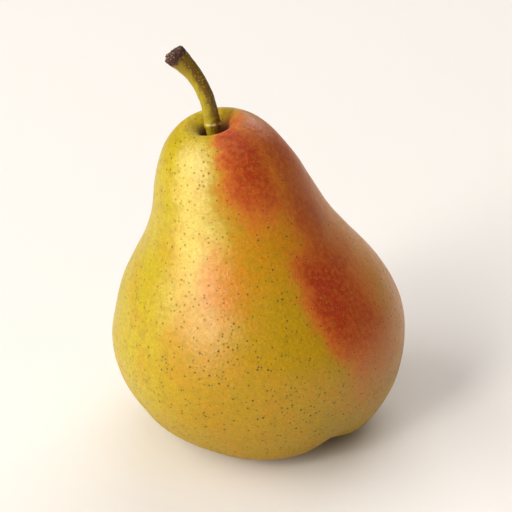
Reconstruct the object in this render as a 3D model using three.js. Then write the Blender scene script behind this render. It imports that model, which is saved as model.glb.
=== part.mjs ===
// Pear: one whole fresh pear, standing on the lobes around its calyx basin.
// Units are millimetres and +Z is up. It rests on z = 0, with its box centred over the origin.
// Pieces: the fruit, its stem, and the five dried sepals of the calyx.

import * as THREE from 'three';
import { mergeVertices } from 'three/addons/utils/BufferGeometryUtils.js';

// ---------------------------------------------------------------- driving dimensions

const FRUIT_HEIGHT = 78.5;
const FRUIT_SIDES = 72;
const RINGS_PER_STEP = 3; // rings of vertices between two points of an outline

// Half of the upright fruit's outline as [radius, height]: from the floor of the calyx basin,
// round the rim that it stands on, up the belly and the neck, and down into the stem cavity.
const FRUIT_OUTLINE = [
  [0, 7.2],
  [5, 6.1],
  [9.5, 2.3],
  [14, 0],
  [25.6, 3.2],
  [31.2, 9.9],
  [34.6, 18.1],
  [35, 28],
  [31.4, 38],
  [26.7, 45.2],
  [21.9, 52.4],
  [18.6, 59.6],
  [16, 66.8],
  [12.2, 74.1],
  [7.2, 78.2],
  [4.3, 77.5],
  [2.8, 75.1],
  [2.3, 72.6],
  [0, 72],
];

// The core line of the fruit starts upright, and leans to -X and a little to -Y in the neck. Its slices
// are level at the base and turn square to the core line towards the top.
const CORE_BASE_X = 1.5;
const CORE_LEAN_X = 15.2;
const CORE_RETURN_X = 4;
const CORE_LEAN_Y = 6.9;
const CORE_STEPS = 10;
const SLICE_TURN = [0, 1];

// Swellings towards +X as [height, amount]: the belly is fuller on that side, and the neck waves.
const SWELLINGS = [
  [33, 1.2],
  [47, -0.3],
  [60, 0.5],
];
const SWELLING_SPREAD = 9;

// Five low lobes stand around the base, with one deep crease between two of them.
const LOBE_COUNT = 5;
const LOBE_HEIGHT = 0.35;
const LOBE_FADE = [1.5, 11]; // heights between which the lobes fade out
const CREASE_ANGLE = THREE.MathUtils.degToRad(-53);
const CREASE_WIDTH = THREE.MathUtils.degToRad(10);
const CREASE_DEPTH = 1.7;
const CREASE_FADE = [2.5, 18];
const BASIN_FADE = [4, 11]; // radii between which lobes and crease rise from the smooth basin
const SURFACE_LEVEL = 0.1; // the lobes are pressed flat at this height

// Middle line of the stem above the cavity, up to its torn end: it rises, then curves to -X.
const STEM_COURSE = [
  [-9.6, -7.2, 78],
  [-10.5, -7.5, 83.4],
  [-13.2, -7.8, 89.2],
  [-17.9, -8, 94.4],
];
const STEM_RADIUS = 1.72;
const STEM_FOOT_RADIUS = 1.75;
const STEM_RING_RADIUS = 1.95; // low ring just above the fruit
const STEM_END_RADIUS = 2.45;
const STEM_SIDES = 16;
const STEM_RIDGES = 3;
const STEM_RIDGE_HEIGHT = 0.09;
const STEM_TURN = [-1, 0]; // its slices are square to its middle line all the way

// Dried sepals in the calyx basin.
const SEPAL_COUNT = 5;
const SEPAL_LENGTH = 5.6;
const SEPAL_WIDTH = 2.7;
const SEPAL_THICKNESS = 0.45;
const SEPAL_ROOT_RADIUS = 1.9; // the sepals' roots stand in a ring of this radius
const SEPAL_CLEARANCE = 0.45; // between the sepals' roots and the basin floor
const SEPAL_DROOP = 3.1; // how far the tips hang below the roots
const SEPAL_STEPS = 6;

const GAP = 0.35; // clearance between the stem's foot and the cavity floor

// ---------------------------------------------------------------- helpers

// 0 below the range, 1 above it, and a smooth rise in between.
function smoothRise(value, [low, high]) {
  return THREE.MathUtils.smoothstep(value, low, high);
}

// The angle brought into -PI .. PI.
function wrapAngle(angle) {
  return THREE.MathUtils.euclideanModulo(angle + Math.PI, 2 * Math.PI) - Math.PI;
}

// Moves every vertex with change(position, normal), which alters the position in place.
function reshape(geometry, change) {
  const positions = geometry.attributes.position;
  const normals = geometry.attributes.normal;
  const position = new THREE.Vector3();
  const normal = new THREE.Vector3();
  for (let i = 0; i < positions.count; i += 1) {
    position.fromBufferAttribute(positions, i);
    normal.fromBufferAttribute(normals, i);
    change(position, normal);
    positions.setXYZ(i, position.x, position.y, position.z);
  }
}

// Joins the vertices that share a place and drops the triangles that have closed up to a line.
function weld(geometry) {
  geometry.deleteAttribute('normal');
  geometry.deleteAttribute('uv');
  const merged = mergeVertices(geometry, 1e-4);
  const corners = merged.index.array;
  const kept = [];
  for (let i = 0; i < corners.length; i += 3) {
    const [a, b, c] = corners.slice(i, i + 3);
    if (a !== b && b !== c && c !== a) {
      kept.push(a, b, c);
    }
  }
  merged.setIndex(kept);
  merged.computeVertexNormals();
  return merged;
}

// A turned body that stands on +Z, from outline points that start and end on the axis.
function turnedBody(outline, sides) {
  const curve = new THREE.SplineCurve(outline.map(([radius, height]) => new THREE.Vector2(radius, height)));
  const points = curve.getPoints((outline.length - 1) * RINGS_PER_STEP);
  return new THREE.LatheGeometry(points, sides).rotateX(Math.PI / 2);
}

// Bends a body that stands on +Z, length high, so that its axis follows the curve. Its slices stay
// level below the first of the two parts of the length, and are square to the curve above the second.
function bendAlong(geometry, curve, length, turnRange) {
  const up = new THREE.Vector3(0, 0, 1);
  const facing = new THREE.Vector3();
  const turn = new THREE.Quaternion();
  reshape(geometry, (position) => {
    const along = THREE.MathUtils.clamp(position.z / length, 0, 1);
    facing.lerpVectors(up, curve.getTangent(along), smoothRise(along, turnRange)).normalize();
    turn.setFromUnitVectors(up, facing);
    position.z -= along * length;
    position.applyQuaternion(turn).add(curve.getPoint(along));
  });
}

function smoothCurve(points) {
  return new THREE.CatmullRomCurve3(points, false, 'catmullrom');
}

function piece(name, geometry, color, roughness) {
  const material = new THREE.MeshStandardMaterial({ color, roughness, metalness: 0 });
  const mesh = new THREE.Mesh(weld(geometry), material);
  mesh.name = name;
  return mesh;
}

// ---------------------------------------------------------------- fruit

// How far the skin stands out from the turned form: lobes around the base, and the crease.
function baseRelief(position) {
  const radius = Math.hypot(position.x, position.y);
  const fromCrease = wrapAngle(Math.atan2(position.y, position.x) - CREASE_ANGLE);
  const lobes = LOBE_HEIGHT * -Math.cos(LOBE_COUNT * fromCrease);
  const crease = CREASE_DEPTH * -Math.exp(-((fromCrease / CREASE_WIDTH) ** 2));
  const lobePart = lobes * (1 - smoothRise(position.z, LOBE_FADE));
  const creasePart = crease * (1 - smoothRise(position.z, CREASE_FADE));
  return (lobePart + creasePart) * smoothRise(radius, BASIN_FADE);
}

// Shift towards +X at a height, from all the swellings together.
function swellingAt(height) {
  return SWELLINGS.reduce(
    (sum, [middle, amount]) => sum + amount * Math.exp(-(((height - middle) / SWELLING_SPREAD) ** 2)),
    0,
  );
}

function coreLine() {
  const points = [];
  for (let i = 0; i <= CORE_STEPS; i += 1) {
    const rise = i / CORE_STEPS;
    const x = CORE_BASE_X - CORE_LEAN_X * rise ** 2 + CORE_RETURN_X * rise ** 4;
    points.push(new THREE.Vector3(x, -CORE_LEAN_Y * rise ** 2, FRUIT_HEIGHT * rise));
  }
  return smoothCurve(points);
}

function makeFruit(core) {
  const geometry = turnedBody(FRUIT_OUTLINE, FRUIT_SIDES);
  reshape(geometry, (position, normal) => {
    position.addScaledVector(normal, baseRelief(position));
    position.x += swellingAt(position.z);
  });
  bendAlong(geometry, core, FRUIT_HEIGHT, SLICE_TURN);
  reshape(geometry, (position) => {
    position.z = Math.max(position.z, SURFACE_LEVEL);
  });
  return piece('fruit', geometry, 0xc9a92f, 0.45);
}

// ---------------------------------------------------------------- stem

// Outline of the straightened stem: a closed foot, a low ring, an even shaft and a flared end.
function stemOutline(length) {
  return [
    [0, 0],
    [STEM_FOOT_RADIUS * 0.8, 0.1],
    [STEM_FOOT_RADIUS, length * 0.04],
    [STEM_RADIUS, length * 0.2],
    [STEM_RING_RADIUS, length * 0.26],
    [STEM_RADIUS, length * 0.33],
    [STEM_RADIUS, length * 0.6],
    [STEM_RADIUS * 1.1, length * 0.8],
    [STEM_END_RADIUS, length * 0.95],
    [STEM_END_RADIUS * 0.85, length * 0.995],
    [0, length],
  ];
}

function makeStem(core) {
  const cavityFloor = FRUIT_OUTLINE[FRUIT_OUTLINE.length - 1][1];
  const foot = core.getPoint((cavityFloor + GAP) / FRUIT_HEIGHT);
  const curve = smoothCurve([foot, ...STEM_COURSE.map(([x, y, z]) => new THREE.Vector3(x, y, z))]);
  const length = curve.getLength();
  const geometry = turnedBody(stemOutline(length), STEM_SIDES);
  reshape(geometry, (position) => {
    const azimuth = Math.atan2(position.y, position.x);
    const ridge = 1 + (STEM_RIDGE_HEIGHT / STEM_RADIUS) * Math.cos(STEM_RIDGES * azimuth);
    position.x *= ridge;
    position.y *= ridge;
  });
  bendAlong(geometry, curve, length, STEM_TURN);
  return piece('stem', geometry, 0x8a8433, 0.7);
}

// ---------------------------------------------------------------- sepals

// A pointed leaf lying along +X from its root, with steps along its length so that it can curl.
function sepalLeaf() {
  const side = [];
  for (let i = 1; i < SEPAL_STEPS; i += 1) {
    const along = i / SEPAL_STEPS;
    const halfWidth = (SEPAL_WIDTH / 2) * Math.sin(Math.PI * along ** 0.75) ** 0.8;
    side.push(new THREE.Vector2(along * SEPAL_LENGTH, halfWidth));
  }
  const root = new THREE.Vector2(0, 0);
  const tip = new THREE.Vector2(SEPAL_LENGTH, 0);
  const otherSide = side.map(({ x, y }) => new THREE.Vector2(x, -y));
  const shape = new THREE.Shape([root, ...otherSide, tip, ...side.reverse()]);
  return new THREE.ExtrudeGeometry(shape, { depth: SEPAL_THICKNESS, steps: 1, bevelEnabled: false });
}

function makeSepal(index, basinFloor) {
  const geometry = sepalLeaf();
  reshape(geometry, (position) => {
    const along = position.x / SEPAL_LENGTH;
    position.z -= SEPAL_THICKNESS + SEPAL_DROOP * along ** 1.6;
    position.x += SEPAL_ROOT_RADIUS;
  });
  const azimuth = CREASE_ANGLE + ((index + 0.5) * 2 * Math.PI) / SEPAL_COUNT;
  geometry.rotateZ(azimuth);
  geometry.translate(basinFloor.x, basinFloor.y, basinFloor.z - SEPAL_CLEARANCE);
  return piece(`sepal_${index + 1}`, geometry, 0x4a3424, 0.85);
}

// ---------------------------------------------------------------- the whole pear

const group = new THREE.Group();
const core = coreLine();
group.add(makeFruit(core), makeStem(core));

const basinFloor = core.getPoint(FRUIT_OUTLINE[0][1] / FRUIT_HEIGHT);
for (let index = 0; index < SEPAL_COUNT; index += 1) {
  group.add(makeSepal(index, basinFloor));
}

// The pear stands on z = 0, with the middle of its box over the origin.
const middle = new THREE.Box3().setFromObject(group).getCenter(new THREE.Vector3());
group.position.set(-middle.x, -middle.y, -SURFACE_LEVEL);
group.updateMatrixWorld(true);

export default group;
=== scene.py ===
# %% [markdown]
# # A pear, from its solid frame to its skin
#
# This lesson dresses a plain solid pear. The frame that it starts from holds seven solids: the
# fruit, its stem and the five dried sepals underneath. Each solid has the right size and place, but
# no surface worth looking at. Every step below makes one piece or one finish, and says what it is
# on a real pear, how it could be made, and why this way was chosen. Shapes and places are in
# metres, with MM to write them in millimetres. Patterns in a finish count in millimetres.

# %% Load the frame
import math

import bpy
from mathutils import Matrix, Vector


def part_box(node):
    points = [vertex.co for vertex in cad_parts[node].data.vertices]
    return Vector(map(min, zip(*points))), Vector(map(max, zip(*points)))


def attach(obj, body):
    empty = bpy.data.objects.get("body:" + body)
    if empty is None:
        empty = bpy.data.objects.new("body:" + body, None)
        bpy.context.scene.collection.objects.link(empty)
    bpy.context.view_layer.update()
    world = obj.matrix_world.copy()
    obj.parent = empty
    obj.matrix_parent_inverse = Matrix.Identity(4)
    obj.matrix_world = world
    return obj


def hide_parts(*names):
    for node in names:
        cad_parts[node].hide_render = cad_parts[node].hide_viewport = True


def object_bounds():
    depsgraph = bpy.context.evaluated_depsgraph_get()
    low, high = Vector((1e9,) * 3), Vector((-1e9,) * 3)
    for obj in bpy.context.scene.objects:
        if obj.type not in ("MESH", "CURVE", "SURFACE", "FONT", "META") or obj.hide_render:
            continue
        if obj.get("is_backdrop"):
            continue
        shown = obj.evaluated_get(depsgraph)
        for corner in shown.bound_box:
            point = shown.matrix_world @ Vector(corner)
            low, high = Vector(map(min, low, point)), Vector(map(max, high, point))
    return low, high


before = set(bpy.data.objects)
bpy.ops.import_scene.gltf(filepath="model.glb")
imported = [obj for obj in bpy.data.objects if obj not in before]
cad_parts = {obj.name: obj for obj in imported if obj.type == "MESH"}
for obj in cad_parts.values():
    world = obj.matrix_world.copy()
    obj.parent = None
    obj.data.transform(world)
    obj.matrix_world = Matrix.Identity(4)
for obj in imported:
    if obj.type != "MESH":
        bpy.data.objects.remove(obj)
solid_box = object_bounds()
MM = 0.001

fruit_low, fruit_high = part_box("fruit")
stem_low, stem_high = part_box("stem")
print("pieces of the frame:", sorted(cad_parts))
print("fruit", [round(side / MM, 1) for side in fruit_high - fruit_low], "mm")
print("stem", [round(side / MM, 1) for side in stem_high - stem_low], "mm")

# %% [markdown]
# ## Camera, table and light
#
# A pear stands on a table and is looked at from a little above, as by someone who sits in front of
# it. A long lens keeps its proportions true. The camera is turned onto its target with a track
# quaternion, which is simpler than working out three angles by hand.

# %% Camera
LOOK_DOWN = math.radians(25)
CAMERA_DISTANCE = 0.2843
CAMERA_LENS = 85
CAMERA_TARGET = Vector((-0.6 * MM, 0, 43.2 * MM))


def aim(thing, way, distance):
    """Puts a camera or a light that far off in a direction, and turns it back to the target."""
    thing.location = CAMERA_TARGET + way * distance
    thing.rotation_euler = (CAMERA_TARGET - thing.location).to_track_quat("-Z", "Y").to_euler()


bpy.ops.object.camera_add()
camera = bpy.context.object
camera.name = "camera"
camera.data.lens = CAMERA_LENS
camera.data.clip_start = 10 * MM
aim(camera, Vector((0, -math.cos(LOOK_DOWN), math.sin(LOOK_DOWN))), CAMERA_DISTANCE)
bpy.context.scene.camera = camera
print("camera at", [round(part, 3) for part in camera.location])

# %% [markdown]
# The table is a wide plane of warm white paper that fills the view. It is nearly matt, so that it
# takes a soft shadow and no reflection of the pear.

# %% Table
TABLE_SIZE = 2.6
PAPER_WHITE = (0.9, 0.87, 0.84, 1)

bpy.ops.mesh.primitive_plane_add(size=TABLE_SIZE, location=(0, 0, 0))
table = bpy.context.object
table.name = "table"
table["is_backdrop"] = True

paper = bpy.data.materials.new("warm_white_paper")
paper.use_nodes = True
paper_shader = paper.node_tree.nodes["Principled BSDF"]
paper_shader.inputs["Base Color"].default_value = PAPER_WHITE
paper_shader.inputs["Roughness"].default_value = 0.9
paper_shader.inputs["Specular IOR Level"].default_value = 0.2
table.data.materials.append(paper)

# %% [markdown]
# All the light is from soft boxes, which are area lights as large as windows. The key stands to the
# left in front, so that one side of the pear glows and its shadow falls softly to the right. A
# narrow one beside it draws the glint down the neck and belly. One behind and one overhead keep
# the far side open. One lamp could do it all, but its shadow would be hard and its glint a spot.

# %% Soft boxes
WARM_LIGHT = (1, 0.97, 0.92)
CLEAR_LIGHT = (1, 0.97, 0.94)


def soft_box(name, azimuth, elevation, distance, width, height, watts, colour):
    """An area light that looks at the pear from an azimuth and an elevation in degrees."""
    turn, rise = math.radians(azimuth), math.radians(elevation)
    way = Vector((math.cos(turn) * math.cos(rise), math.sin(turn) * math.cos(rise), math.sin(rise)))
    bpy.ops.object.light_add(type="AREA")
    light = bpy.context.object
    light.name = name
    light.data.shape = "RECTANGLE"
    light.data.size = width
    light.data.size_y = height
    light.data.energy = watts
    light.data.color = colour
    aim(light, way, distance)


soft_box("key_panel", -168, 35, distance=2.5, width=2.1, height=2.1, watts=40, colour=WARM_LIGHT)
soft_box("glint_panel", -131, 24, distance=1.6, width=0.4, height=1.0, watts=18, colour=WARM_LIGHT)
soft_box("back_panel", 78, 36, distance=2.5, width=2.4, height=1.8, watts=35, colour=CLEAR_LIGHT)
soft_box("top_panel", -70, 78, distance=2.5, width=2.4, height=2.4, watts=14, colour=CLEAR_LIGHT)

# %% [markdown]
# The room itself gives very little light, or the shadows would fade. The camera should still see a
# pale wall past the edge of the table. A Light Path node tells the two apart: a ray that comes
# straight from the camera meets the bright backdrop, and every other ray the dim room.

# %% Room
ROOM_WHITE = (1, 0.96, 0.92, 1)
ROOM_STRENGTH = 0.12
BACKDROP_WHITE = (0.95, 0.9, 0.85, 1)

world = bpy.data.worlds.new("pale_room")
bpy.context.scene.world = world
world.use_nodes = True
world_nodes, world_links = world.node_tree.nodes, world.node_tree.links
room = world_nodes["Background"]
room.inputs["Color"].default_value = ROOM_WHITE
room.inputs["Strength"].default_value = ROOM_STRENGTH
backdrop = world_nodes.new("ShaderNodeBackground")
backdrop.inputs["Color"].default_value = BACKDROP_WHITE
ray = world_nodes.new("ShaderNodeLightPath")
either = world_nodes.new("ShaderNodeMixShader")
world_links.new(ray.outputs["Is Camera Ray"], either.inputs["Fac"])
world_links.new(room.outputs["Background"], either.inputs[1])
world_links.new(backdrop.outputs["Background"], either.inputs[2])
world_links.new(either.outputs["Shader"], world_nodes["World Output"].inputs["Surface"])
bpy.context.scene.view_settings.view_transform = "Standard"

# %% [markdown]
# ## Helpers for pieces
#
# A solid of the frame is a heap of loose triangles. Its copy is welded, and its triangles are
# paired into four-sided faces where they lie flat enough to each other, because a subdivision
# surface rounds those best. Working on a copy keeps the frame as it was.

# %% Copy a solid
WELD_DISTANCE = 0.005 * MM
PAIR_FACE_ANGLE = math.radians(40)
PAIR_SHAPE_ANGLE = math.radians(60)


def select_only(piece):
    """Makes one object the only selected one, and the active one."""
    bpy.ops.object.select_all(action="DESELECT")
    piece.select_set(True)
    bpy.context.view_layer.objects.active = piece


def welded_copy(node, name):
    """A copy of a solid of the frame, welded and made of four-sided faces where they pair up."""
    piece = bpy.data.objects.new(name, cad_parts[node].data.copy())
    bpy.context.scene.collection.objects.link(piece)
    piece.data.name = name
    piece.data.materials.clear()
    select_only(piece)
    bpy.ops.object.mode_set(mode="EDIT")
    bpy.ops.mesh.select_all(action="SELECT")
    bpy.ops.mesh.remove_doubles(threshold=WELD_DISTANCE)
    bpy.ops.mesh.tris_convert_to_quads(face_threshold=PAIR_FACE_ANGLE, shape_threshold=PAIR_SHAPE_ANGLE)
    bpy.ops.object.mode_set(mode="OBJECT")
    return piece


# %% [markdown]
# Every piece is then rounded by a subdivision surface and roughened by a Displace modifier that
# reads a cloud texture. Sculpting would do as well, but a texture gives the same result each time.
# The modifiers are applied, so that the finished mesh is what it looks like.

# %% Round and roughen a copy
ROUNDING = 2


def apply_modifier(piece, kind, **settings):
    """Adds a modifier with its settings and applies it."""
    select_only(piece)
    bpy.ops.object.modifier_add(type=kind)
    modifier = piece.modifiers[-1]
    for key, value in settings.items():
        setattr(modifier, key, value)
    bpy.ops.object.modifier_apply(modifier=modifier.name)


def rounded(piece):
    """Subdivides a piece and shades it smooth."""
    apply_modifier(piece, "SUBSURF", levels=ROUNDING, render_levels=ROUNDING)
    bpy.ops.object.shade_smooth()


def cloud_texture(name, size, depth=2):
    """A texture of clouds that are about size metres wide."""
    texture = bpy.data.textures.new(name, type="CLOUDS")
    texture.noise_scale = size
    texture.noise_depth = depth
    return texture


def tell_size(piece):
    """Prints how many faces a piece has, and how large it is."""
    faces = len(piece.data.polygons)
    print(piece.name, faces, "faces", [round(side / MM, 1) for side in piece.dimensions], "mm")


# %% [markdown]
# ## The fruit
#
# A pear's flesh swells evenly, so its surface is smooth, with broad soft dents that only show in
# the highlights. Two layers of clouds push the rounded copy in and out by a fraction of a
# millimetre. The base is left alone, because it has to stay flat: the clouds only work where a
# vertex group lets them, and its weight is nought up to 6 mm and grows to one at 12 mm.

# %% Shape the fruit
STILL_BELOW = 6 * MM
FREE_ABOVE = 12 * MM

fruit = welded_copy("fruit", "fruit_skin")
rounded(fruit)
above_base = fruit.vertex_groups.new(name="above_base")
for vertex in fruit.data.vertices:
    weight = min(max((vertex.co.z - STILL_BELOW) / (FREE_ABOVE - STILL_BELOW), 0), 1)
    above_base.add([vertex.index], weight, "REPLACE")
for name, size, strength in (
    ("broad_dents", 22 * MM, 0.5 * MM),
    ("small_dents", 5 * MM, 0.09 * MM),
):
    apply_modifier(
        fruit, "DISPLACE", texture=cloud_texture(name, size), strength=strength,
        texture_coords="LOCAL", vertex_group="above_base",
    )
fruit.vertex_groups.clear()
tell_size(fruit)

# %% [markdown]
# ## Helpers for finishes
#
# A finish is a small network of nodes. Its helpers add one node each and wire it up, so that a
# finish reads like a sum. The first ones start the material, join sockets and move places about.
# All patterns read the Object coordinates in millimetres, because the sizes of dots and blotches
# are then true sizes.


# %% Network
class Network:
    """The nodes of a material under construction."""

    def __init__(self, name):
        self.material = bpy.data.materials.new(name)
        self.material.use_nodes = True
        self.tree = self.material.node_tree
        self.shader = self.tree.nodes["Principled BSDF"]
        place = self.tree.nodes.new("ShaderNodeTexCoord").outputs["Object"]
        self.place = self.vector("SCALE", place, scale=1 / MM)

    def wire(self, socket, value):
        """Links an output to an input, or sets the input to a plain value."""
        if isinstance(value, bpy.types.NodeSocket):
            self.tree.links.new(value, socket)
        elif socket.type == "RGBA":
            socket.default_value = (*value, 1)
        else:
            socket.default_value = value

    def vector(self, operation, first, second=(0, 0, 0), scale=1.0):
        """One step of arithmetic with vectors."""
        node = self.tree.nodes.new("ShaderNodeVectorMath")
        node.operation = operation
        self.wire(node.inputs[0], first)
        self.wire(node.inputs[1], second)
        if operation == "SCALE":
            self.wire(node.inputs["Scale"], scale)
        return node.outputs["Vector"]


# %% [markdown]
# The next helpers do arithmetic. A value may be a plain number or the output of another node, so a
# number and a pattern are used alike. The smooth step is the one that finishes use most: it turns
# a height, an angle or a distance into a soft border.


# %% Arithmetic
class Arithmetic(Network):
    """A network that can also calculate."""

    def calc(self, operation, first, second=0.0, third=0.0, clamp=False):
        """One step of arithmetic."""
        node = self.tree.nodes.new("ShaderNodeMath")
        node.operation = operation
        node.use_clamp = clamp
        for socket, value in zip(node.inputs, (first, second, third)):
            self.wire(socket, value)
        return node.outputs[0]

    def product(self, result, *factors):
        """All the values multiplied by each other."""
        for factor in factors:
            result = self.calc("MULTIPLY", result, factor)
        return result

    def split(self, value):
        """The three parts of a vector or a colour."""
        node = self.tree.nodes.new("ShaderNodeSeparateXYZ")
        self.wire(node.inputs[0], value)
        return node.outputs

    def smooth(self, value, low, high, to_low=0.0, to_high=1.0):
        """Moves smoothly from to_low to to_high as the value goes from low to high.

        Where low is the larger of the two, the value counts downwards.
        """
        node = self.tree.nodes.new("ShaderNodeMapRange")
        node.interpolation_type = "SMOOTHSTEP"
        for key, number in (
            ("Value", value), ("From Min", low), ("From Max", high),
            ("To Min", to_low), ("To Max", to_high),
        ):
            self.wire(node.inputs[key], number)
        return node.outputs["Result"]


# %% [markdown]
# Two patterns are all that a pear needs. Noise gives clouds: blotches, mottling, grain. Voronoi
# cells give scattered points: dots, specks, scars. Both are cut out of a pattern that fills space,
# so they have no seam and no stretched pole, as a sheet wrapped round the fruit would.


# %% Patterns
class Patterns(Arithmetic):
    """A network that can also make noise and cells."""

    def noise(self, size, detail=2.0, roughness=0.5, place=None, colour=False):
        """Cloudy noise whose blobs are about size millimetres wide."""
        node = self.tree.nodes.new("ShaderNodeTexNoise")
        self.wire(node.inputs["Vector"], self.place if place is None else place)
        node.inputs["Scale"].default_value = 1 / size
        node.inputs["Detail"].default_value = detail
        node.inputs["Roughness"].default_value = roughness
        return node.outputs["Color" if colour else "Fac"]

    def cells(self, spacing, shift=(0, 0, 0), feature="F1"):
        """Distance to, and random colour of, points about spacing millimetres apart.

        The distance is in parts of the spacing. The shift makes another pattern of the same kind.
        """
        node = self.tree.nodes.new("ShaderNodeTexVoronoi")
        node.feature = feature
        self.wire(node.inputs["Vector"], self.vector("ADD", self.place, shift))
        node.inputs["Scale"].default_value = 1 / spacing
        return node.outputs["Distance"], node.outputs.get("Color")


# %% [markdown]
# The last few helpers lay colours over each other, and hand the result to the shader and the
# shader to the pieces. A Mix node keeps its colour sockets at fixed numbers, two in and one out.


# %% Finish
FIRST_COLOUR, SECOND_COLOUR, MIXED_COLOUR = 6, 7, 2


class Finish(Patterns):
    """A material, made from colours, patterns and a bump."""

    def mix(self, amount, first, second, blend="MIX"):
        """Lays the second colour over the first by an amount from 0 to 1."""
        node = self.tree.nodes.new("ShaderNodeMix")
        node.data_type = "RGBA"
        node.blend_type = blend
        self.wire(node.inputs["Factor"], amount)
        self.wire(node.inputs[FIRST_COLOUR], first)
        self.wire(node.inputs[SECOND_COLOUR], second)
        return node.outputs[MIXED_COLOUR]

    def grey(self, value):
        """A grey of the given brightness."""
        node = self.tree.nodes.new("ShaderNodeCombineXYZ")
        for socket in node.inputs:
            self.wire(socket, value)
        return node.outputs[0]

    def bump(self, height, depth):
        """A normal that makes the heights from 0 to 1 look depth metres deep."""
        node = self.tree.nodes.new("ShaderNodeBump")
        node.inputs["Distance"].default_value = depth
        self.wire(node.inputs["Height"], height)
        return node.outputs["Normal"]

    def set(self, **values):
        """Sets inputs of the shader, with _ for each space in their names."""
        for key, value in values.items():
            self.wire(self.shader.inputs[key.replace("_", " ")], value)

    def put_on(self, *pieces):
        """Gives the finish to pieces as their only material."""
        for piece in pieces:
            piece.data.materials.clear()
            piece.data.materials.append(self.material)


# %% [markdown]
# ## The skin
#
# A pear's colour follows how it hung. The shaded side stays yellow-green, the open side ripens to
# gold, and where the sun fell the skin blushes orange and brick red. So the colour depends on which
# way a point faces round the core of the fruit, and on its height. The core leans with the neck,
# and its bend is followed here with the same formula as the solid's, in millimetres.
#
# An azimuth jumps from 180 back to -180 degrees somewhere, and a colour that changes there shows a
# seam. The direction is turned before its angle is taken, which moves the jump to the back left,
# where one plain yellow covers it.

# %% Which way a point of the skin faces
CORE_HEIGHT = 78.5
CORE_BASE = Vector((0.95, 0.68))
CORE_LEAN = Vector((-15.2, -6.9))
CORE_RETURN = 4
JUMP_AZIMUTH = 130


def turned(finish, x, y, degrees):
    """A direction turned round the vertical, its y before its x."""
    cosine, sine = math.cos(math.radians(degrees)), math.sin(math.radians(degrees))
    new_x = finish.calc("SUBTRACT", finish.product(x, cosine), finish.product(y, sine))
    new_y = finish.calc("ADD", finish.product(x, sine), finish.product(y, cosine))
    return new_y, new_x


def facing(finish, place):
    """Azimuth round the core line in degrees, height and radius of a place in millimetres.

    An azimuth of -90 faces the front and 0 the right.
    """
    x, y, z = finish.split(place)
    rise = finish.calc("DIVIDE", z, CORE_HEIGHT)
    square = finish.product(rise, rise)
    fourth = finish.product(square, square)
    start_x = finish.calc("MULTIPLY_ADD", fourth, CORE_RETURN, CORE_BASE.x)
    core_x = finish.calc("MULTIPLY_ADD", square, CORE_LEAN.x, start_x)
    core_y = finish.calc("MULTIPLY_ADD", square, CORE_LEAN.y, CORE_BASE.y)
    out_x, out_y = finish.calc("SUBTRACT", x, core_x), finish.calc("SUBTRACT", y, core_y)
    squares = finish.calc("MULTIPLY_ADD", out_x, out_x, finish.product(out_y, out_y))
    angle = finish.calc("ARCTAN2", *turned(finish, out_x, out_y, 180 - JUMP_AZIMUTH))
    azimuth = finish.calc("SUBTRACT", finish.calc("DEGREES", angle), 180 - JUMP_AZIMUTH)
    return azimuth, z, finish.calc("SQRT", squares)


# %% [markdown]
# Colours on skin never end in a clean line. The place that the colours are worked out from is first
# pushed about by noise, so every border between them wanders by a few millimetres. The russet and
# painted shade round the stem and the russet of the basin below keep to the true place.

# %% Wandering place
WANDER = 11
WANDER_SIZE = 9
NOISE_MIDDLE = (0.5, 0.5, 0.5)

skin = Finish("pear_skin")
clouds = skin.noise(WANDER_SIZE, detail=4, roughness=0.6, colour=True)
push = skin.vector("SCALE", skin.vector("SUBTRACT", clouds, NOISE_MIDDLE), scale=WANDER)
azimuth, height, _ = facing(skin, skin.vector("ADD", skin.place, push))
_, true_height, core_radius = facing(skin, skin.place)
print("colour borders wander by up to", WANDER / 2, "mm")

# %% [markdown]
# Each area of blush is a soft patch. It is described by where it starts, is full, stops being full
# and ends, both round the fruit in degrees and up it in millimetres. Patches of one colour are
# joined by the rule that what one leaves bare the next may still cover. Painting on the mesh would
# be quicker, but patches stay easy to shift.


# %% Patches
def patch(around, up, strength):
    """Soft patch between four azimuths and four heights."""
    begin, full, stop, end = around
    low, full_low, full_high, high = up
    sides = skin.product(skin.smooth(azimuth, begin, full), skin.smooth(azimuth, stop, end, 1.0, 0.0))
    levels = skin.product(
        skin.smooth(height, low, full_low), skin.smooth(height, full_high, high, 1.0, 0.0),
    )
    return skin.product(sides, levels, strength)


def joined(*patches):
    """What at least one of the patches covers."""
    bare = 1.0
    for cover in patches:
        bare = skin.product(bare, skin.calc("SUBTRACT", 1.0, cover))
    return skin.calc("SUBTRACT", 1.0, bare)


# %% [markdown]
# The brick red lies in two big patches, one under the stem and one on the right of the belly, with
# weaker ones that link them along the right flank. The amber reaches further round and lower, and
# has islands of its own on the front of the belly.

# %% Where the blush lies
brick_cover = joined(
    patch((-98, -72, -54, -32), (54, 68, 77, 84), 0.8),
    patch((-78, -52, 10, 60), (66, 75, 82, 88), 0.42),
    patch((-46, -22, -8, 40), (48, 62, 72, 82), 0.5),
    patch((-52, -35, -26, 10), (40, 50, 60, 74), 0.5),
    patch((-70, -52, -48, -14), (24, 43, 46, 58), 0.98),
    patch((-62, -48, -36, -6), (8, 30, 38, 54), 0.28),
)
amber_cover = joined(
    patch((-102, -78, -50, -26), (46, 60, 74, 82), 0.8),
    patch((-90, -74, -62, -44), (42, 54, 60, 70), 0.35),
    patch((-118, -106, -94, -76), (38, 46, 50, 60), 0.9),
    patch((-66, -40, 60, 110), (6, 34, 66, 82), 0.75),
    patch((-132, -118, -102, -84), (26, 34, 44, 54), 0.35),
)
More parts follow.
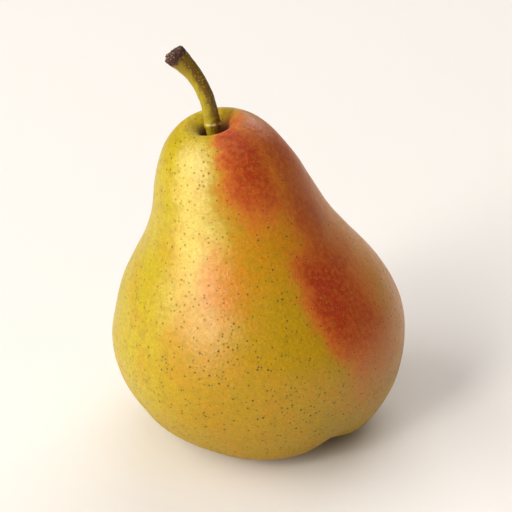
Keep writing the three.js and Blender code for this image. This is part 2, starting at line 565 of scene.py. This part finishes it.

# %% [markdown]
# Under the blush lies the ground colour: yellow-green on the shaded side and up the neck, gold in
# front, and more olive towards the base and by the crease. A pale band down the neck and belly is
# a painted highlight, where the glint falls. Cloudy blotches several millimetres wide keep it alive.

# %% Ground colour
LEAF_YELLOW = (0.49, 0.37, 0.0)
GOLD = (0.44, 0.25, 0.0)
HIGHLIGHT_PALE = (0.72, 0.56, 0.13)
OLIVE = (0.35, 0.23, 0.0)
AMBER = (0.6, 0.19, 0.002)
BLOTCH_SIZE = 7

blotch = skin.noise(BLOTCH_SIZE, detail=3)
golden = skin.product(skin.smooth(azimuth, -150, -100), skin.smooth(azimuth, 110, 50))
# A painted highlight: the pale band where the glint runs down the neck and belly.
painted_highlight_band = patch((-144, -117, -110, -84), (28, 52, 70, 80), 0.85)
crease_side = patch((-78, -62, -40, -20), (-4, 4, 14, 26), 0.55)

ground = skin.mix(golden, LEAF_YELLOW, GOLD)
ground = skin.mix(skin.smooth(height, 46, 66, 0.0, 0.65), ground, LEAF_YELLOW)
ground = skin.mix(painted_highlight_band, ground, HIGHLIGHT_PALE)
ground = skin.mix(skin.smooth(height, 22, 3, 0.0, 0.35), ground, OLIVE)
ground = skin.mix(crease_side, ground, OLIVE)
ground = skin.mix(skin.smooth(blotch, 0.45, 0.7, 0.0, 0.2), ground, AMBER)

# %% [markdown]
# The amber comes next, grained as if it sat in single cells of the skin. Over it go olive mottles
# two millimetres wide and flecks half that size. Both are held back in the painted highlight down the
# neck and belly, where the glint would wash them out.

# %% Amber and mottling
GRAIN_SIZE = 1.1
MOTTLE_SIZE = 2.2

cell_grain = skin.noise(GRAIN_SIZE, detail=2, roughness=0.6)
mottle = skin.noise(MOTTLE_SIZE, detail=3, roughness=0.65)
amber_grain = skin.smooth(cell_grain, 0.3, 0.65, 0.75, 1.05)
amber_part = skin.calc("MULTIPLY", amber_cover, amber_grain, clamp=True)
# The painted highlight holds back mottles, flecks and dots.
under_painted_highlight = skin.smooth(painted_highlight_band, 0.1, 0.7)
away_from_highlight = skin.calc("MULTIPLY_ADD", under_painted_highlight, -0.65, 1.0)
mottled = skin.product(skin.smooth(mottle, 0.46, 0.68, 0.0, 0.5), away_from_highlight)
flecks = skin.product(skin.smooth(cell_grain, 0.52, 0.7, 0.0, 0.3), away_from_highlight)

flushed = skin.mix(amber_part, ground, AMBER)
flushed = skin.mix(mottled, flushed, OLIVE)
flushed = skin.mix(flecks, flushed, OLIVE)

# %% [markdown]
# The blush goes on in two coats, rust and then brick, so its thin edges look warmer than its
# middle. On the right flank, away from the sun, it turns to a pale pink-brown, which is partly the
# skin's own colour and partly painted light that lightens and pales that side. A very fine grain
# then darkens and lightens the whole skin a little.

# %% Blush
RUST = (0.57, 0.13, 0.014)
BRICK = (0.37, 0.03, 0.004)
PINK_AND_PAINTED_LIGHT = (0.75, 0.34, 0.12)
FINE_GRAIN_SIZE = 0.55

brick_grain = skin.smooth(cell_grain, 0.25, 0.65, 0.7, 1.12)
brick_part = skin.calc("MULTIPLY", brick_cover, brick_grain, clamp=True)
# Partly the skin's own pink-brown, partly painted light that lightens and pales the right flank.
right_flank_painted_light = patch((-36, 0, 40, 85), (18, 36, 56, 74), 0.65)
fine_grain = skin.noise(FINE_GRAIN_SIZE, detail=2, roughness=0.7)
grain_shade = skin.smooth(fine_grain, 0.3, 0.7, 0.86, 1.1)

blushed = skin.mix(skin.smooth(brick_part, 0.0, 0.6), flushed, RUST)
blushed = skin.mix(skin.smooth(brick_part, 0.3, 1.1), blushed, BRICK)
blushed = skin.mix(right_flank_painted_light, blushed, PINK_AND_PAINTED_LIGHT)
blushed = skin.mix(1.0, blushed, skin.grey(grain_shade), blend="MULTIPLY")

# %% [markdown]
# Russet is thin brown cork. It lines the hole that the stem stands in, and the basin underneath
# where the flower was. In the hole round the stem the dark brown is also painted shade, which
# darkens the hollow.

# %% Russet
RUSSET_AND_SHADE = (0.12, 0.035, 0.012)

# Russet and painted shade in the hollow round the stem.
stem_hole_russet_and_shade = skin.product(skin.smooth(core_radius, 4.2, 2.8), skin.smooth(true_height, 60, 66))
basin = skin.product(skin.smooth(core_radius, 11, 6), skin.smooth(true_height, 12, 8))
blushed = skin.mix(stem_hole_russet_and_shade, blushed, RUSSET_AND_SHADE)
blushed = skin.mix(skin.product(basin, 0.7), blushed, RUSSET_AND_SHADE)

# %% [markdown]
# The skin is dotted all over with lenticels, the pores that the fruit breathes through. They are
# brown corky dots about half a millimetre across, each in a small halo that is green on the yellow
# skin and amber on the blush. Voronoi cells give them: the skin cuts the cells at random, so the
# dots vary in size and spacing by themselves, and the random colour of each cell varies them more.
# They grow a little towards the base, and are fainter in the painted highlight.

# %% Dots
DOT_SPACING = 1.05
DOT_RADIUS = 0.22
HALO_RADIUS = 0.45
DOT_BROWN = (0.1, 0.04, 0.002)

dot_distance, dot_chance = skin.cells(DOT_SPACING)
size_chance, depth_chance, _ = skin.split(dot_chance)
dot_size = skin.smooth(size_chance, 0.0, 1.0, 0.55, 1.15)
dot_size = skin.product(dot_size, skin.smooth(height, 50, 20, 1.0, 1.2))
dot_place = skin.calc("DIVIDE", dot_distance, dot_size)
dots = skin.smooth(dot_place, DOT_RADIUS, DOT_RADIUS / 2)
halos = skin.smooth(dot_place, HALO_RADIUS, DOT_RADIUS)
halo_colour = skin.mix(skin.smooth(brick_cover, 0.05, 0.5), OLIVE, AMBER)
dot_depth = skin.smooth(depth_chance, 0.0, 1.0, 0.6, 1.05)
# Dots are fainter under the painted highlight.
dot_depth = skin.product(dot_depth, skin.calc("MULTIPLY_ADD", under_painted_highlight, -0.35, 1.0))

dotted = skin.mix(skin.product(halos, 0.3), blushed, halo_colour)
dotted = skin.mix(skin.product(dots, dot_depth), dotted, DOT_BROWN)

# %% [markdown]
# Between the dots lie pale specks of wax, half as wide, and faint rusty freckles. Neither is seen
# for itself, but without them the skin looks like plastic.

# %% Specks and freckles
SPECK_SPACING = 0.62
FRECKLE_SPACING = 0.8
FRECKLE_SHIFT = (40, 7, 13)
WAX = (0.75, 0.5, 0.05)

speck_distance, _ = skin.cells(SPECK_SPACING)
specks = skin.smooth(speck_distance, 0.34, 0.12)
freckle_distance, _ = skin.cells(FRECKLE_SPACING, shift=FRECKLE_SHIFT)
freckles = skin.smooth(freckle_distance, 0.3, 0.1)

speckled = skin.mix(skin.product(specks, 0.12), dotted, WAX)
speckled = skin.mix(skin.product(freckles, skin.product(away_from_highlight, 0.22)), speckled, RUST)

# %% [markdown]
# Ripe skin has a satin gloss, which is uneven, duller towards the base and dull in the russet. The
# bump is shallow: fine pores, with the dots a little sunk. A trace of light passes under the skin.

# %% Gloss and bump of the skin
PORE_SIZE = 0.9
PORE_DEPTH = 0.13 * MM
DULL = 0.75

satin = skin.smooth(skin.noise(3, detail=3), 0.3, 0.7, 0.35, 0.43)
satin = skin.calc("ADD", satin, skin.smooth(true_height, 26, 4, 0.0, 0.2))
pores = skin.calc("MULTIPLY_ADD", dots, -0.5, skin.noise(PORE_SIZE, detail=2))
skin.set(
    Base_Color=speckled,
    Roughness=skin.smooth(core_radius, 9.0, 6.0, satin, DULL),
    Normal=skin.bump(pores, PORE_DEPTH),
    Specular_IOR_Level=0.38,
    Subsurface_Weight=0.05,
    Subsurface_Radius=(1, 0.5, 0.1),
    Subsurface_Scale=1.5 * MM,
)
skin.put_on(fruit)
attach(fruit, "root")
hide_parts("fruit")
print("skin nodes:", len(skin.tree.nodes))

# %% [markdown]
# ## The stem
#
# The stalk is a woody twig that leans over to the left and flares where it let go of the branch.
# The rounded copy is given a faint grain. Its last two millimetres are a torn collar, so a vertex
# group that grows towards the end carries a much rougher displacement. Cutting the tear by hand
# would take longer and show no better at this size.

# %% Shape the stem
STEM_FOOT = Vector((-10.15, -6.5, 77.9))
STEM_TIP = Vector((-18.45, -7.3, 94.3))
TIP_WAY = Vector((-0.71, 0, 0.7))
COLLAR = 2.0


def past_tip(point):
    """How far a point in millimetres lies past the end of the stem. It is negative below it."""
    return (point - STEM_TIP).dot(TIP_WAY)


stem = welded_copy("stem", "stem_twig")
rounded(stem)
grain_group = stem.vertex_groups.new(name="whole_twig")
torn_group = stem.vertex_groups.new(name="torn_collar")
for vertex in stem.data.vertices:
    torn = min(max((past_tip(vertex.co / MM) + COLLAR) / COLLAR, 0), 1)
    torn_group.add([vertex.index], torn, "REPLACE")
    grain_group.add([vertex.index], 1 - torn, "REPLACE")
for name, size, strength, group in (
    ("bark_grain", 1.4 * MM, 0.22 * MM, "whole_twig"),
    ("torn_lumps", 1.0 * MM, 1.1 * MM, "torn_collar"),
    ("torn_crumbs", 0.4 * MM, 0.5 * MM, "torn_collar"),
):
    apply_modifier(
        stem, "DISPLACE", texture=cloud_texture(name, size, depth=1), strength=strength,
        texture_coords="LOCAL", vertex_group=group,
    )
stem.vertex_groups.clear()
tell_size(stem)

# %% [markdown]
# The twig is still green on its left side and brown on its right, partly barked and partly painted
# shade on the side away from the key light, and the brown spreads all round it towards the tip.
# Which side a point is on comes from its distance to the twig's own middle line, which follows a
# parabola. Fibres run along the twig: they are noise that is stretched upwards.

# %% Green and brown of the stem
STEM_BEND = -8.3
TWIG_GREEN = (0.4, 0.3, 0.008)
BARK_BROWN_AND_SHADE = (0.16, 0.08, 0.006)
FIBRE_BROWN = (0.3, 0.2, 0.02)
FIBRE_SIZE = 0.5
FIBRE_STRETCH = (1, 1, 0.22)

bark = Finish("stem_bark")
bark_x, _, bark_z = bark.split(bark.place)
climb = bark.calc("DIVIDE", bark.calc("SUBTRACT", bark_z, STEM_FOOT.z), STEM_TIP.z - STEM_FOOT.z)
middle_x = bark.calc("MULTIPLY_ADD", bark.product(climb, climb), STEM_BEND, STEM_FOOT.x)
wobble = bark.smooth(bark.noise(2.5, detail=3), 0.2, 0.8, -0.7, 0.7)
side = bark.calc("ADD", bark.calc("SUBTRACT", bark_x, middle_x), wobble)
# Bark brown and painted shade: the right side, away from the key light, is painted darker.
bark_and_shade = bark.smooth(side, -0.5, 0.9)
bark_and_shade = bark.calc("MAXIMUM", bark_and_shade, bark.smooth(climb, 0.55, 1.0, 0.0, 0.75))
stretched = bark.vector("MULTIPLY", bark.place, FIBRE_STRETCH)
fibres = bark.noise(FIBRE_SIZE, detail=3, roughness=0.6, place=stretched)

twig = bark.mix(bark_and_shade, TWIG_GREEN, BARK_BROWN_AND_SHADE)
twig = bark.mix(bark.smooth(fibres, 0.35, 0.7, 0.0, 0.35), twig, FIBRE_BROWN)

# %% [markdown]
# Tiny corky specks sit on the barked side, and a few dark scars all over. Both are Voronoi cells
# again, the scars from a shifted pattern so that they keep clear of the specks.

# %% Corks and scars
CORK_SPACING = 0.6
CORK_SPECK = (0.6, 0.5, 0.14)
SCAR_SPACING = 0.9
SCAR_SHIFT = (3, 9, 1)
SCAR_BROWN = (0.08, 0.035, 0.01)

cork_distance, _ = bark.cells(CORK_SPACING)
corks = bark.product(bark.smooth(cork_distance, 0.3, 0.14), bark.smooth(side, -0.4, 0.3))
scar_distance, _ = bark.cells(SCAR_SPACING, shift=SCAR_SHIFT)

twig = bark.mix(bark.product(corks, 0.6), twig, CORK_SPECK)
twig = bark.mix(bark.smooth(scar_distance, 0.22, 0.08, 0.0, 0.6), twig, SCAR_BROWN)

# %% [markdown]
# Where the stem leaves its hole runs a pale cracked ring. It is a narrow band of height, broken up
# by noise.

# %% Ring
RING_HEIGHT = 78.3
RING_CORK = (0.7, 0.6, 0.3)

from_ring = bark.calc("ABSOLUTE", bark.calc("SUBTRACT", bark_z, RING_HEIGHT))
cracks = bark.smooth(bark.noise(0.8), 0.3, 0.7, -0.1, 0.4)
ring = bark.smooth(bark.calc("ADD", from_ring, cracks), 0.42, 0.1)

twig = bark.mix(bark.product(ring, 0.75), twig, RING_CORK)

# %% [markdown]
# The collar and the torn face are bands of the distance past the tip, as in the shape: dark brown
# bark first, then lighter torn wood in crumbs. The noise keeps their borders ragged.

# %% Torn end
COLLAR_BROWN = (0.06, 0.025, 0.018)
TORN_GREY = (0.42, 0.3, 0.22)

from_tip = bark.vector("SUBTRACT", bark.place, STEM_TIP)
along_x, _, along_z = bark.split(bark.vector("MULTIPLY", from_tip, TIP_WAY))
ragged = bark.smooth(bark.noise(0.9, detail=2), 0.25, 0.75, -0.7, 0.7)
past = bark.calc("ADD", bark.calc("ADD", along_x, along_z), ragged)
crumbs = bark.smooth(bark.noise(0.45, detail=2, roughness=0.7), 0.45, 0.7)

twig = bark.mix(bark.smooth(past, -3.0, -1.5), twig, COLLAR_BROWN)
twig = bark.mix(bark.product(bark.smooth(past, -0.9, 0.2), crumbs), twig, TORN_GREY)

# %% [markdown]
# The green twig has a satin gloss and the torn end none. Fibres and corks stand out a little.

# %% Gloss and bump of the stem
BARK_DEPTH = 0.12 * MM

bark.set(
    Base_Color=twig,
    Roughness=bark.smooth(past, -3.0, -1.0, 0.42, 0.85),
    Normal=bark.bump(bark.calc("MULTIPLY_ADD", corks, 0.4, fibres), BARK_DEPTH),
    Specular_IOR_Level=0.25,
)
bark.put_on(stem)
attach(stem, "root")
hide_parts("stem")
print("bark nodes:", len(bark.tree.nodes))

# %% [markdown]
# ## The sepals
#
# The five leaves that once closed the bud stay in the basin under the fruit. They are dry and
# curled there, so each copy is rounded and crinkled by clouds about a millimetre wide. The texture
# reads local coordinates, and the leaves lie in different places, so no two of them crinkle alike.

# %% Shape the sepals
SEPAL_COUNT = 5
CRINKLE_SIZE = 1.1 * MM
CRINKLE_DEPTH = 0.45 * MM

crinkle = cloud_texture("leaf_crinkle", CRINKLE_SIZE)
leaves = []
for index in range(1, SEPAL_COUNT + 1):
    node = f"sepal_{index}"
    leaf = welded_copy(node, f"dried_{node}")
    rounded(leaf)
    apply_modifier(leaf, "DISPLACE", texture=crinkle, strength=CRINKLE_DEPTH, texture_coords="LOCAL")
    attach(leaf, "root")
    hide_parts(node)
    leaves.append(leaf)
tell_size(leaves[0])

# %% [markdown]
# Dead leaf is matt and brown, greyer where it has weathered, with fine dark veins. Stretched noise
# would need a direction for each leaf, so the veins are the seams of a small Voronoi pattern.

# %% Finish of the sepals
LEAF_BROWN = (0.2, 0.105, 0.045)
LEAF_GREY = (0.42, 0.31, 0.19)
VEIN_BROWN = (0.04, 0.02, 0.01)
VEIN_SPACING = 0.9
LEAF_DEPTH = 0.15 * MM

dry_leaf = Finish("dried_sepal")
weather = dry_leaf.noise(1.3, detail=3, roughness=0.6)
seam_distance, _ = dry_leaf.cells(VEIN_SPACING, feature="DISTANCE_TO_EDGE")
veins = dry_leaf.smooth(seam_distance, 0.12, 0.0)

dried = dry_leaf.mix(dry_leaf.smooth(weather, 0.35, 0.7), LEAF_BROWN, LEAF_GREY)
dried = dry_leaf.mix(dry_leaf.product(veins, 0.6), dried, VEIN_BROWN)
dry_leaf.set(
    Base_Color=dried,
    Roughness=dry_leaf.smooth(weather, 0.3, 0.7, 0.75, 0.95),
    Normal=dry_leaf.bump(dry_leaf.calc("SUBTRACT", weather, veins), LEAF_DEPTH),
)
dry_leaf.put_on(*leaves)
print("leaf nodes:", len(dry_leaf.tree.nodes))

# %% [markdown]
# ## Measure
#
# The dressed pear has to be the size of the solid one, so both boxes are written down.

# %% Sizes
visual_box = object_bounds()
for name, box in (("solid", solid_box), ("dressed", visual_box)):
    print(name, [round(side / MM, 1) for side in box[1] - box[0]], "mm")
